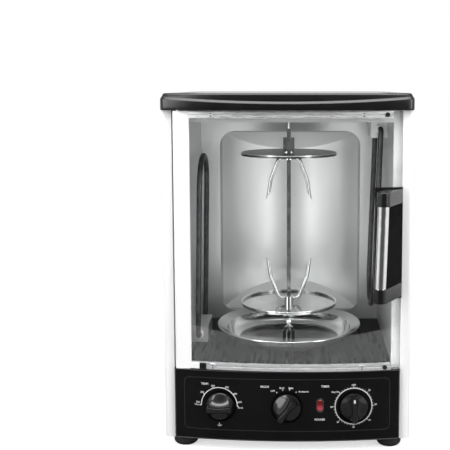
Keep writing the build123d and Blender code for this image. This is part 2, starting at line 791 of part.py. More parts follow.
# Hinge bearings: a plate above the left jamb and a bush in the top of the control panel
with BuildPart() as hinge_bearings:
    with BuildSketch(Plane.XY.offset(side_top)):
        with Locations((hinge_x, front + 0.9)):
            Rectangle(14.0, 10.2)
    extrude(amount=2.0)
    with BuildSketch(Plane.XY.offset(panel_top - 8.0)):
        with Locations((hinge_x, hinge_y)):
            Circle(2.8)
    extrude(amount=8.0)
    with BuildSketch(Plane.XY.offset(panel_top - 8.0)):
        with Locations((hinge_x, hinge_y)):
            Circle(hinge_pin_radius + running_gap)
    extrude(amount=side_top, mode=Mode.SUBTRACT)
save(hinge_bearings.part, "hinge_bearings")

# Lid and its metal plate
with BuildPart() as top_lid:
    with BuildSketch(Plane.XY.offset(side_top)) as lid_outline:
        with BuildLine():
            ThreePointArc((-half, lid_end), (0, lid_nose), (half, lid_end))
            Polyline((half, lid_end), (half, rear), (-half, rear), (-half, lid_end))
        make_face()
        fillet(lid_outline.vertices(), 7.0)
    extrude(amount=height - side_top)
    fillet(top_lid.faces().sort_by(Axis.Z)[-1].edges(), 6.5)
    with BuildSketch(Plane.XY.offset(side_top)):
        offset(lid_outline.sketch, amount=-lid_wall)
    extrude(amount=height - side_top - 6.0, mode=Mode.SUBTRACT)
    with BuildSketch(Plane.XY.offset(height)):
        with Locations((0, sum(plate_y) / 2)):
            RectangleRounded(2 * plate_half_width, plate_y[1] - plate_y[0], 12.0)
    extrude(amount=-plate_recess, mode=Mode.SUBTRACT)
save(top_lid.part, "top_lid")

with BuildPart() as top_plate:
    with BuildSketch(Plane.XY.offset(height - plate_recess)):
        with Locations((0, sum(plate_y) / 2)):
            RectangleRounded(2 * plate_half_width - 0.6, plate_y[1] - plate_y[0] - 0.6, 11.7)
    extrude(amount=plate_thickness)
save(top_plate.part, "top_plate")

# Control panel: bowed moulding with three dished recesses and a slot for the lamp
boss_wall = 2.5


def panel_outline(inset):
    """Face of the bowed panel, inset on the front and the two ends."""
    side = panel_half - inset
    with BuildSketch(Plane.XY) as outline:
        with BuildLine():
            ThreePointArc((-side, panel_end + inset), (0, panel_nose + inset), (side, panel_end + inset))
            Polyline((side, panel_end + inset), (side, panel_back), (-side, panel_back),
                     (-side, panel_end + inset))
        make_face()
    return outline


with BuildPart() as panel_hollow:
    with BuildSketch(Plane.XY.offset(panel_bottom + panel_wall)):
        add(panel_outline(panel_wall).sketch)
    extrude(amount=panel_top - panel_bottom - 2 * panel_wall)
    for x, floor_y in zip(knob_x, recess_floor):
        with BuildSketch(Plane.XZ.offset(-(floor_y + panel_wall))):
            with Locations((x, knob_z)):
                Circle(recess_radius + boss_wall)
        extrude(amount=30.0, mode=Mode.SUBTRACT)

with BuildPart() as control_panel:
    with BuildSketch(Plane.XY.offset(panel_bottom)):
        add(panel_outline(0.0).sketch)
    extrude(amount=panel_top - panel_bottom)
    add(panel_hollow.part, mode=Mode.SUBTRACT)
    for x, floor_y in zip(knob_x, recess_floor):
        with BuildSketch(Plane.XZ.offset(-floor_y)):
            with Locations((x, knob_z)):
                Circle(recess_radius)
        extrude(amount=30.0, mode=Mode.SUBTRACT)
        with BuildSketch(Plane.XZ.offset(-(floor_y + 5.0))):
            with Locations((x, knob_z)):
                Circle(shaft_hole_radius)
        extrude(amount=10.0, mode=Mode.SUBTRACT)
    with BuildSketch(Plane.XZ.offset(-panel_back)):
        with Locations((lamp_x, lamp_z)):
            SlotOverall(20.6, 10.6, rotation=90)
    extrude(amount=40.0, mode=Mode.SUBTRACT)
    add(hinge_bearings.part, mode=Mode.SUBTRACT)
    with BuildSketch(Plane.XY.offset(panel_top)):
        with Locations((hinge_x, hinge_y)):
            Circle(2.8)
    extrude(amount=-8.0, mode=Mode.SUBTRACT)
save(control_panel.part, "control_panel")

# Power lamp
with BuildPart() as lamp_bezel:
    with BuildSketch(Plane.XZ.offset(-(front - 12.0))):
        with Locations((lamp_x, lamp_z)):
            SlotOverall(20.6, 10.6, rotation=90)
            SlotOverall(16.0, 8.0, rotation=90, mode=Mode.SUBTRACT)
    extrude(amount=5.8)
save(lamp_bezel.part, "lamp_bezel")

with BuildPart() as lamp_lens:
    with BuildSketch(Plane.XZ.offset(-(front - 12.0))):
        with Locations((lamp_x, lamp_z)):
            SlotOverall(16.0, 8.0, rotation=90)
    extrude(amount=6.4)
    chamfer(lamp_lens.faces().sort_by(Axis.Y)[0].edges(), 0.6)
save(lamp_lens.part, "lamp_lens")

# Controls: a bracket with the thermostat, mode switch and timer behind the panel
unit_sizes = {"thermostat": (0, 30.0, 34.0, 20.0), "mode_switch": (1, 34.0, 34.0, 24.0),
              "timer_unit": (2, 40.0, 44.0, 30.0)}
bushing_radius = 4.5
bushing_front = front + 13.0
shaft_end = front + 36.0

with BuildPart() as control_bracket:
    with BuildSketch(Plane.XZ.offset(-bracket_y - sheet)):
        with Locations((0, 62.0)):
            Rectangle(270.0, 84.0)
        with Locations(*[(x, knob_z) for x in knob_x]):
            Circle(bushing_radius, mode=Mode.SUBTRACT)
    extrude(amount=sheet)
    with BuildSketch(Plane.XY.offset(pan_top)):
        with Locations((0, bracket_y + 8.0)):
            Rectangle(270.0, 16.0)
    extrude(amount=sheet)
    with BuildSketch(Plane.XZ.offset(-bracket_y - sheet)):
        with Locations((0, pan_top + 4.0)):
            Rectangle(270.0, 8.0)
    extrude(amount=sheet)
save(control_bracket.part, "control_bracket")

for name, (index, unit_width, unit_height, unit_depth) in unit_sizes.items():
    with BuildPart() as unit:
        with BuildSketch(Plane.XZ.offset(-bracket_y - sheet)):
            with Locations((knob_x[index], knob_z)):
                Rectangle(unit_width, unit_height)
        extrude(amount=-unit_depth)
        with BuildSketch(Plane.XZ.offset(-bracket_y - sheet)):
            with Locations((knob_x[index], knob_z)):
                Circle(bushing_radius)
        extrude(amount=bracket_y + sheet - bushing_front)
        with BuildSketch(Plane.XZ.offset(-shaft_end - 1.0)):
            with Locations((knob_x[index], knob_z)):
                Circle(control_shaft_radius + running_gap)
        extrude(amount=40.0, mode=Mode.SUBTRACT)
    save(unit.part, name)


# Knobs: a round skirt with a raised, waisted grip, each on its own control shaft
def control_shaft(index):
    """Round spindle of a control, with a flat where the knob sits."""
    tip_y = recess_floor[index] - knob_gap - 14.0
    with BuildPart() as shaft:
        with BuildSketch(Plane.XZ.offset(-shaft_end)):
            with Locations((knob_x[index], knob_z)):
                Circle(control_shaft_radius)
        extrude(amount=shaft_end - recess_floor[index] + knob_gap)
        with BuildSketch(Plane.XZ.offset(-recess_floor[index] + knob_gap)):
            with Locations((knob_x[index], knob_z)):
                Circle(control_shaft_radius)
                Rectangle(6.0, 4.0, align=(Align.CENTER, Align.MAX), mode=Mode.INTERSECT)
        extrude(amount=recess_floor[index] - knob_gap - tip_y)
    return shaft


def knob(index):
    """Skirted knob whose grip points at its turn angle."""
    turn = math.radians(knob_turn[index])
    face = Plane(origin=(knob_x[index], recess_floor[index] - knob_gap, knob_z),
                 x_dir=(math.cos(turn), 0, -math.sin(turn)), z_dir=(0, -1, 0))
    with BuildPart() as piece:
        with BuildSketch(face):
            Circle(knob_radius)
        extrude(amount=skirt_depth)
        chamfer(piece.faces().sort_by(Axis.Y)[0].edges(), 1.5)
        with BuildSketch(face.offset(skirt_depth)):
            Rectangle(13.0, 2 * knob_radius - 1.0)
            Circle(knob_radius - 0.5, mode=Mode.INTERSECT)
            with Locations((-44.5, 0), (44.5, 0)):
                Circle(40.0, mode=Mode.SUBTRACT)
        extrude(amount=knob_depth - skirt_depth)
        chamfer(piece.faces().sort_by(Axis.Y)[0].edges(), 1.0)
        add(control_shaft(index).part, mode=Mode.SUBTRACT)
    return piece


for index, name in enumerate(("temperature", "mode", "timer")):
    save(knob(index).part, f"{name}_knob")
    save(control_shaft(index).part, f"{name}_shaft")
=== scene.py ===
import math

import bmesh
import bpy
import numpy as np
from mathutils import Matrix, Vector


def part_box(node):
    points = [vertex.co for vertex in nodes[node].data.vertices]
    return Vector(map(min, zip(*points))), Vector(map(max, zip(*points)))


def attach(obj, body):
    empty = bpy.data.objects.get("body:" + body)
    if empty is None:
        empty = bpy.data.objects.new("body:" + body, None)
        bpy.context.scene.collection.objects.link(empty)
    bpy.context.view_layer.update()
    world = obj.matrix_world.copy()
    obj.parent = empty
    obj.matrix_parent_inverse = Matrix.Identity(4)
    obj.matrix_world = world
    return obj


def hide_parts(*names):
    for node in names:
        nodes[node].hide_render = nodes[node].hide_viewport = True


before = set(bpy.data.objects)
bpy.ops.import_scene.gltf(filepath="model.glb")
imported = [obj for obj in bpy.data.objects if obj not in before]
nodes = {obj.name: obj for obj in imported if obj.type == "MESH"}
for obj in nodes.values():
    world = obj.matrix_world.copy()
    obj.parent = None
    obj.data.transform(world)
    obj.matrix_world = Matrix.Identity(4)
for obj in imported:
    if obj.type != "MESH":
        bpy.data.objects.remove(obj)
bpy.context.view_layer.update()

# ---------------------------------------------------------------------------------------------
# Camera, floor and studio lights. The camera stands a little right of the middle and just above the
# lid. Two weak strips light the cavity from behind the glass. The floor is bright to the eye, also
# through the glass, and a dull grey in reflections.
column_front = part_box("right_side_panel")[0][1]
camera_data = bpy.data.cameras.new("oven_camera")
camera_data.sensor_width = 36.0
camera_data.lens = 69.46
camera_data.shift_x = -0.139
camera_data.shift_y = -0.100
camera_data.clip_end = 30.0
camera = bpy.data.objects.new("oven_camera", camera_data)
camera.location = (0.0225, column_front - 1.178, 0.5066)
camera.rotation_euler = (math.radians(90 - 6.16), 0.0, math.radians(1.06))
bpy.context.collection.objects.link(camera)
bpy.context.scene.camera = camera

# white to the eye, but dim towards the front, so that glossy fronts mirror something dark
world = bpy.data.worlds.new("studio")
world.use_nodes = True
sky = world.node_tree
direction = sky.nodes.new("ShaderNodeSeparateXYZ")
fade = sky.nodes.new("ShaderNodeMapRange")
for socket, number in zip(("From Min", "From Max", "To Min", "To Max"), (-0.85, -0.45, 0.09, 0.95)):
    fade.inputs[socket].default_value = number
backdrop = sky.nodes.new("ShaderNodeBackground")
backdrop.inputs["Strength"].default_value = 1.0
seen = sky.nodes.new("ShaderNodeLightPath")
choose = sky.nodes.new("ShaderNodeMixShader")
sky.links.new(sky.nodes.new("ShaderNodeTexCoord").outputs["Generated"], direction.inputs["Vector"])
sky.links.new(direction.outputs["Y"], fade.inputs["Value"])
sky.links.new(fade.outputs["Result"], sky.nodes["Background"].inputs["Strength"])
sky.links.new(seen.outputs["Is Camera Ray"], choose.inputs[0])
sky.links.new(sky.nodes["Background"].outputs["Background"], choose.inputs[1])
sky.links.new(backdrop.outputs["Background"], choose.inputs[2])
sky.links.new(choose.outputs["Shader"], sky.nodes["World Output"].inputs["Surface"])
for shader in (sky.nodes["Background"], backdrop):
    shader.inputs["Color"].default_value = (1.0, 1.0, 1.0, 1.0)
bpy.context.scene.world = world
bpy.context.scene.view_settings.view_transform = "Standard"


def softbox(name, place, target, width, height, power):
    """Rectangular lamp at a place, turned to face a target point."""
    data = bpy.data.lights.new(name, "AREA")
    data.shape = "RECTANGLE"
    data.size, data.size_y, data.energy = width, height, power
    lamp = bpy.data.objects.new(name, data)
    lamp.location = place
    lamp.rotation_euler = (Vector(target) - Vector(place)).to_track_quat("-Z", "Y").to_euler()
    bpy.context.collection.objects.link(lamp)


softbox("left_softbox", (-1.3, -1.3, 0.9), (0, 0, 0.25), 0.7, 1.3, 16)
softbox("right_softbox", (1.5, -1.2, 0.8), (0, 0, 0.25), 0.7, 1.3, 17)
softbox("top_softbox", (0.0, -0.3, 1.7), (0, 0, 0.3), 1.4, 1.0, 8)
softbox("crease_strip", (0.0, column_front - 0.58, 1.548), (0, column_front, 0.485), 1.6, 0.5, 20)
for side in (-1, 1):
    softbox("cavity_strip", (side * 0.100, column_front + 0.015, 0.30), (side * 0.15, 0.30, 0.28),
            0.07, 0.30, 0.12)

floor_mesh = bpy.data.meshes.new("studio_floor")
floor_mesh.from_pydata([(-0.9, -0.7, 0), (0.9, -0.7, 0), (0.9, 0.9, 0), (-0.9, 0.9, 0)], [],
                       [(0, 1, 2, 3)])
floor = bpy.data.objects.new("studio_floor", floor_mesh)
bpy.context.collection.objects.link(floor)
floor_paint = bpy.data.materials.new("studio_floor")
floor_paint.use_nodes = True
paint = floor_paint.node_tree
lit = paint.nodes["Principled BSDF"]
for socket, number in (("Base Color", (0.93, 0.93, 0.93, 1)), ("Roughness", 0.9),
                       ("Emission Color", (1, 1, 1, 1)), ("Emission Strength", 0.6)):
    lit.inputs[socket].default_value = number
unseen = paint.nodes.new("ShaderNodeBsdfDiffuse")
unseen.inputs["Color"].default_value = (0.16, 0.16, 0.16, 1)
eye = paint.nodes.new("ShaderNodeLightPath")
both = paint.nodes.new("ShaderNodeMixShader")
seen_or_through = paint.nodes.new("ShaderNodeMath")
seen_or_through.operation, seen_or_through.use_clamp = "ADD", True
paint.links.new(eye.outputs["Is Camera Ray"], seen_or_through.inputs[0])
paint.links.new(eye.outputs["Is Transmission Ray"], seen_or_through.inputs[1])
paint.links.new(seen_or_through.outputs["Value"], both.inputs[0])
paint.links.new(unseen.outputs["BSDF"], both.inputs[1])
paint.links.new(lit.outputs["BSDF"], both.inputs[2])
paint.links.new(both.outputs["Shader"], paint.nodes["Material Output"].inputs["Surface"])
floor_mesh.materials.append(floor_paint)

# ---------------------------------------------------------------------------------------------
# Feet: four moulded rubber domes, each screwed up into the zinc-coated base pan. The rubber is
# dull, with a fine sparkle of mould texture.
class Finish:
    """A node material under way: its tree, its shader, and a chain of small pattern steps."""

    def __init__(self, name, roughness, metallic=0.0):
        self.material = bpy.data.materials.new(name)
        self.material.use_nodes = True
        self.tree = self.material.node_tree
        self.shader = self.tree.nodes["Principled BSDF"]
        self.shader.inputs["Roughness"].default_value = roughness
        self.shader.inputs["Metallic"].default_value = metallic
        self.place = self.tree.nodes.new("ShaderNodeTexCoord").outputs["Object"]

    def stretched(self, x, y, z):
        """Object coordinates with each axis scaled, so that a pattern draws out into streaks."""
        mapping = self.tree.nodes.new("ShaderNodeMapping")
        mapping.inputs["Scale"].default_value = (x, y, z)
        self.tree.links.new(self.place, mapping.inputs["Vector"])
        return mapping.outputs["Vector"]

    def noise(self, scale, detail=3.0, along=None):
        """Fractal noise in object space, scale in cycles per metre."""
        pattern = self.tree.nodes.new("ShaderNodeTexNoise")
        pattern.inputs["Scale"].default_value = scale
        pattern.inputs["Detail"].default_value = detail
        self.tree.links.new(along or self.place, pattern.inputs["Vector"])
        return pattern.outputs["Fac"]

    def spread(self, value, low, high):
        """Noise value from its usual 0.3 to 0.7 mapped to low and high."""
        step = self.tree.nodes.new("ShaderNodeMapRange")
        for socket, number in zip(("From Min", "From Max", "To Min", "To Max"), (0.3, 0.7, low, high)):
            step.inputs[socket].default_value = number
        self.tree.links.new(value, step.inputs["Value"])
        return step.outputs["Result"]

    def colour(self, value, low, high):
        """Base colour that runs from low to high with a pattern value."""
        ramp = self.tree.nodes.new("ShaderNodeValToRGB")
        ramp.color_ramp.elements[0].position, ramp.color_ramp.elements[1].position = 0.3, 0.7
        ramp.color_ramp.elements[0].color = (*low, 1)
        ramp.color_ramp.elements[1].color = (*high, 1)
        self.tree.links.new(value, ramp.inputs["Fac"])
        self.tree.links.new(ramp.outputs["Color"], self.shader.inputs["Base Color"])
        return self

    def gloss(self, value, low, high):
        """Roughness that runs from low to high with a pattern value."""
        self.tree.links.new(self.spread(value, low, high), self.shader.inputs["Roughness"])
        return self

    def relief(self, value, depth, strength=1.0):
        """Bump from a pattern value, depth in metres."""
        bump = self.tree.nodes.new("ShaderNodeBump")
        bump.inputs["Strength"].default_value = strength
        bump.inputs["Distance"].default_value = depth
        self.tree.links.new(value, bump.inputs["Height"])
        self.tree.links.new(bump.outputs["Normal"], self.shader.inputs["Normal"])
        return self

    def between(self, axis, start, end):
        """Share of the way from one coordinate to another along the X, Y or Z axis."""
        split = self.tree.nodes.new("ShaderNodeSeparateXYZ")
        self.tree.links.new(self.place, split.inputs["Vector"])
        return self.share(split.outputs[axis], start, end)

    def share(self, value, start, end):
        """Share of the way from start to end that a value has come, held between 0 and 1."""
        step = self.tree.nodes.new("ShaderNodeMapRange")
        step.inputs["From Min"].default_value, step.inputs["From Max"].default_value = start, end
        self.tree.links.new(value, step.inputs["Value"])
        return step.outputs["Result"]


def wear(finish, *names):
    """Give CAD nodes or new pieces one finish in all their slots."""
    for name in names:
        wearer = nodes.get(name) or bpy.data.objects[name]
        wearer.data.materials.clear()
        wearer.data.materials.append(finish.material)


rubber = Finish("rubber_feet", 0.6)
rubber.colour(rubber.noise(90), (0.012, 0.012, 0.013), (0.022, 0.022, 0.023))
rubber.gloss(rubber.noise(400), 0.5, 0.7).relief(rubber.noise(2500, 2), 0.00015)
wear(rubber, "feet")

zinc = Finish("zinc_sheet", 0.4, 1.0)
zinc.colour(zinc.noise(160, 5), (0.42, 0.43, 0.45), (0.60, 0.61, 0.63))
zinc.gloss(zinc.noise(220), 0.3, 0.5)
wear(zinc, "base_pan", "control_bracket", "motor_bracket", "hinge_bearings", "door_keeper", "drive_motor")

black_steel = Finish("blackened_screw", 0.35, 0.7)
black_steel.colour(black_steel.noise(600), (0.02, 0.02, 0.02), (0.06, 0.06, 0.06))
black_steel.gloss(black_steel.noise(900), 0.28, 0.45)
wear(black_steel, "case_screws", "door_screws")

# ---------------------------------------------------------------------------------------------
# Case sheets: folded steel with a satin white enamel. The side panels wrap round the front as
# columns, and the door's hinge stile is a painted extrusion in the same white.
enamel = Finish("white_enamel", 0.28)
enamel.colour(enamel.noise(14, 1), (0.852, 0.852, 0.852), (0.864, 0.864, 0.864))
enamel.gloss(enamel.noise(40, 1), 0.28, 0.31).relief(enamel.noise(700, 2), 0.00003, 0.5)
wear(enamel, "left_side_panel", "right_side_panel", "back_panel", "door_stile")

# painted shade: the jambs and the head and sill strips wear the white enamel painted down to grey, for the
# shade where they sit back behind the glass
grey_enamel = Finish("grey_enamel", 0.35)
grey_enamel.colour(grey_enamel.noise(20), (0.50, 0.50, 0.50), (0.58, 0.58, 0.58))
grey_enamel.gloss(grey_enamel.noise(80), 0.3, 0.42)
wear(grey_enamel, "jambs", "head_strip", "sill_strip")

# ---------------------------------------------------------------------------------------------
# Lid: one moulding in black plastic with a fine satin texture. Its front bows out and carries a
# crease that dips towards the middle, and a bright metal plate is let into its top.
black_plastic = Finish("black_plastic", 0.3)
black_plastic.shader.inputs["Specular IOR Level"].default_value = 0.4
black_plastic.colour(black_plastic.noise(30), (0.004, 0.004, 0.0045), (0.007, 0.007, 0.0075))
black_plastic.gloss(black_plastic.noise(300), 0.16, 0.22)
wear(black_plastic, "cord_gland", "door_magnet")


def woven(grid, round_u=False, round_v=False):
    """Points and faces of a grid of points: neighbours in u and v make the quads."""
    rows, columns = grid.shape[:2]
    u, v = np.meshgrid(np.arange(rows - (not round_u)), np.arange(columns - (not round_v)), indexing="ij")
    u2, v2 = (u + 1) % rows, (v + 1) % columns
    quads = np.stack([u * columns + v, u2 * columns + v, u2 * columns + v2, u * columns + v2], -1)
    return grid.reshape(-1, 3), quads.reshape(-1, 4).tolist()


def piece(name, blocks, finish, body, slot, *replaced, sharp=40):
    """Mesh object from blocks of points and faces, riding on a body and replacing CAD nodes.

    Seams are welded, open ends closed and faces turned outwards. Edges over sharp degrees stay sharp.
    """
    points, faces, start = [], [], 0
    for block_points, block_faces in blocks:
        points += np.asarray(block_points).tolist()
        faces += [[corner + start for corner in face] for face in block_faces]
        start = len(points)
    mesh = bpy.data.meshes.new(name)
    mesh.from_pydata(points, [], faces)
    cleaned = bmesh.new()
    cleaned.from_mesh(mesh)
    bmesh.ops.remove_doubles(cleaned, verts=cleaned.verts, dist=2e-6)
    bmesh.ops.dissolve_degenerate(cleaned, edges=cleaned.edges, dist=1e-7)
    bmesh.ops.holes_fill(cleaned, edges=[edge for edge in cleaned.edges if edge.is_boundary], sides=0)
    bmesh.ops.recalc_face_normals(cleaned, faces=cleaned.faces)
    cleaned.to_mesh(mesh)
    cleaned.free()
    mesh.shade_smooth()
    mesh.set_sharp_from_angle(angle=math.radians(sharp))
    made = bpy.data.objects.new(name, mesh)
    bpy.context.collection.objects.link(made)
    mesh.materials.append(finish.material)
    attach(made, body)
    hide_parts(*replaced)
    return made


def bowed_loop(half_width, end_y, nose_y, rear_y, corner):
    """Closed outline seen from above: a front edge that bows out as the square of x, and three
    straight sides with round corners.
    """
    bow = end_y - nose_y
    slope = math.atan(2 * bow / half_width)
    start_x = half_width - corner + corner * math.sin(slope)
    x = np.linspace(-start_x, start_x, 61)
    front_edge = np.stack([x, nose_y + bow * (x / half_width) ** 2], -1)
    centre = np.array([half_width - corner, front_edge[-1, 1] + corner * math.cos(slope)])
    turn = np.linspace(-math.pi / 2 + slope, 0, 9)[1:]
    near = centre + corner * np.stack([np.cos(turn), np.sin(turn)], -1)
    turn = np.linspace(0, math.pi / 2, 9)
    far = np.array([half_width, rear_y]) - corner + corner * np.stack([np.cos(turn), np.sin(turn)], -1)
    side = np.stack([np.full(20, half_width), np.linspace(near[-1, 1], far[0, 1], 22)[1:-1]], -1)
    back = np.stack([np.linspace(far[-1, 0], 0, 14)[1:-1], np.full(12, rear_y)], -1)
    right = np.concatenate([near, side, far, back])
    return np.concatenate([front_edge, right, right[::-1] * [-1, 1]])


lid_low, lid_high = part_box("top_lid")
plate_low, plate_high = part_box("top_plate")
lid_bow, crease_height, crease_dip = 0.022, 0.0165, 0.0068
lid_outer = bowed_loop(lid_high[0], lid_low[1] + lid_bow, lid_low[1], lid_high[1], 0.008)
lid_inner = bowed_loop(plate_high[0] + 0.0003, plate_low[1] - 0.0003, plate_low[1] - 0.0003,
                       plate_high[1] + 0.0003, 0.012)
ahead, behind = np.roll(lid_outer, -1, 0), np.roll(lid_outer, 1, 0)
along = (ahead - behind) / np.linalg.norm(ahead - behind, axis=1, keepdims=True)
outward = np.stack([along[:, 1], -along[:, 0]], -1)
frontness = np.clip((lid_outer[:, 1] - lid_low[1] - 0.03) / -0.01, 0, 1)
crease = lid_low[2] + crease_height - crease_dip * frontness * (1 - (lid_outer[:, 0] / lid_high[0]) ** 2)
top, bottom = lid_high[2], lid_low[2]
# distance in from the outline, share of the way up to the crease, and height above or below it
lid_section = [(0.0032, 0, 0.002), (0.0032, 0, 0), (0.0009, 0, 0), (0.0002, 0, 0.0006), (0, 0, 0.002),
               (0, 1, -0.0016), (0.0002, 1, -0.0011), (0.0009, 1, 0.0002), (0.0018, 1, 0.0015),
               (0.0022, 1, 0.0020), (0.0024, 1, 0.0026)]
lid_rows = [np.concatenate([lid_outer - outward * inset,
                            (bottom + (crease - bottom) * share + rise)[:, None]], -1)
            for inset, share, rise in lid_section]


def level_loop(outline, z):
    """Outline laid flat at one height."""
    return np.concatenate([outline, np.full((len(outline), 1), z)], -1)


for inset, drop in ((0.0032, 0.0026), (0.0040, 0.0010), (0.0052, 0.0002), (0.0068, 0.0), (0.0080, 0.0)):
    lid_rows.append(level_loop(lid_outer - outward * inset, top - drop))
lid_rows += [level_loop(lid_inner, z) for z in (top, top - 0.0003, plate_low[2] + 0.0002)]
lid_rows.append(level_loop(lid_inner * 0.9 + lid_inner.mean(0) * 0.1, plate_low[2] - 0.0004))
lid_rows.append(level_loop(lid_outer - outward * 0.0032, bottom + 0.010))
piece("lid_moulding", [woven(np.stack(lid_rows), True, True)], black_plastic, "case", "black_plastic",
      "top_lid", sharp=34)

plate_steel = Finish("brushed_plate", 0.3, 1.0)
grain = plate_steel.noise(60, 4, plate_steel.stretched(1.0, 40.0, 1.0))
plate_steel.colour(grain, (0.66, 0.66, 0.67), (0.84, 0.84, 0.85)).gloss(grain, 0.22, 0.42)
wear(plate_steel, "top_plate", "temperature_shaft", "mode_shaft", "timer_shaft")

# ---------------------------------------------------------------------------------------------
# Control panel: a black moulding that bows outwards, with a fine raised frame line and edge. The
# scales and words are pad-printed in white ink, laid here on the bow as very thin letters and lines.
matt_black = Finish("panel_black", 0.35)
matt_black.shader.inputs["Specular IOR Level"].default_value = 0.16
matt_black.colour(matt_black.noise(30), (0.0030, 0.0030, 0.0032), (0.0046, 0.0046, 0.0048))
matt_black.gloss(matt_black.noise(200), 0.30, 0.42)
wear(matt_black, "control_panel")
ink = Finish("white_ink", 0.5)
ink.colour(ink.noise(900), (0.62, 0.62, 0.62), (0.74, 0.74, 0.74))
# painted highlight: the edge line is painted lighter than the panel, for the light caught on the bevelled
# edge
edge_highlight_paint = Finish("panel_edge_painted_highlight", 0.2)
edge_highlight_paint.colour(edge_highlight_paint.noise(60), (0.05, 0.05, 0.05), (0.075, 0.075, 0.075))
# painted highlight: the raised frame line is painted a little lighter than the panel, for the light caught
# on its rim
frame_painted_highlight = Finish("frame_line_highlight", 0.25)
frame_painted_highlight.colour(frame_painted_highlight.noise(60), (0.014, 0.014, 0.014), (0.022, 0.022, 0.022))
panel_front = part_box("control_panel")[0][1]
panel_bow, panel_half_width = 0.014, 0.157
panel_radius = (panel_half_width ** 2 + panel_bow ** 2) / (2 * panel_bow)
ink_thickness = 0.00012


def on_panel(x, z, thickness):
    """Points drawn flat as x, height and thickness, laid on the front of the panel, an arc of a circle."""
    y = panel_front + panel_radius - np.sqrt(panel_radius ** 2 - x ** 2) - thickness
    return np.stack([x, y, z], -1)


def printed_line(x, z, across_x, across_z, width, thickness, closed=False):
    """Thin raised line through points, with a flat section of a given width and thickness."""
    offset = np.array([-0.5, -0.5, 0.5, 0.5]) * width
    lift = np.array([-0.0001, 1, 1, -0.0001]) * [1, thickness, thickness, 1]
    grid = on_panel(x[:, None] + across_x[:, None] * offset, z[:, None] + across_z[:, None] * offset,
                    np.broadcast_to(lift, (len(x), 4)))
    return woven(grid, closed, True)


def printed_arc(x, z, radius, start, end, width=0.0011, steps=90):
    """Arc printed round a knob, from one angle to another in degrees clockwise from the top."""
    angle = np.radians(np.linspace(start, end, steps))
    return printed_line(x + radius * np.sin(angle), z + radius * np.cos(angle),
                        np.sin(angle), np.cos(angle), width, ink_thickness)


def lettering(words, x, z, size):
    """Printed word centred on a point of the panel, in letters as thick as the ink."""
    curve = bpy.data.curves.new("letters", "FONT")
    curve.body, curve.size, curve.extrude, curve.resolution_u = words, size, ink_thickness / 2, 2
    curve.align_x, curve.align_y, curve.offset = "CENTER", "CENTER", 0.00006
    holder = bpy.data.objects.new("letters", curve)
    flat = bpy.data.meshes.new_from_object(holder)
    points = np.empty(len(flat.vertices) * 3)
    flat.vertices.foreach_get("co", points)
    points = points.reshape(-1, 3)
    faces = [list(face.vertices) for face in flat.polygons]
    bpy.data.objects.remove(holder)
    bpy.data.curves.remove(curve)
    bpy.data.meshes.remove(flat)
    return on_panel(x + points[:, 0], z + points[:, 1], points[:, 2] + ink_thickness / 2), faces


def ticks(x, z, radius, length, width, angles):
    """Short radial marks at a list of angles round a dial."""
    marks = []
    for angle in np.radians(angles):
        reach = np.array([radius, radius + length])
        across_x, across_z = np.full(2, math.cos(angle)), np.full(2, -math.sin(angle))
        marks.append(printed_line(x + reach * math.sin(angle), z + reach * math.cos(angle),
                                  across_x, across_z, width, ink_thickness))
    return marks


def rounded_frame(half_x, low, high, corner, width, thickness):
    """Closed raised line round a rectangle with round corners, stepped evenly to follow the bow."""
    turn = np.linspace(0, math.pi / 2, 9)
    quarter = np.array([half_x, high]) - corner + corner * np.stack([np.cos(turn), np.sin(turn)], -1)
    low_quarter = (quarter * [1, -1] + [0, low + high])[::-1]
    right = np.concatenate([low_quarter, quarter])
    outline = np.concatenate([right, right[::-1] * [-1, 1]])
    outline = np.concatenate([outline, outline[:1]])
    walked = np.concatenate([[0], np.cumsum(np.linalg.norm(np.diff(outline, axis=0), axis=1))])
    even = np.linspace(0, walked[-1], 361)[:-1]
    x, z = np.interp(even, walked, outline[:, 0]), np.interp(even, walked, outline[:, 1])
    along_x, along_z = np.roll(x, -1) - np.roll(x, 1), np.roll(z, -1) - np.roll(z, 1)
    length = np.hypot(along_x, along_z)
    return printed_line(x, z, along_z / length, -along_x / length, width, thickness, closed=True)


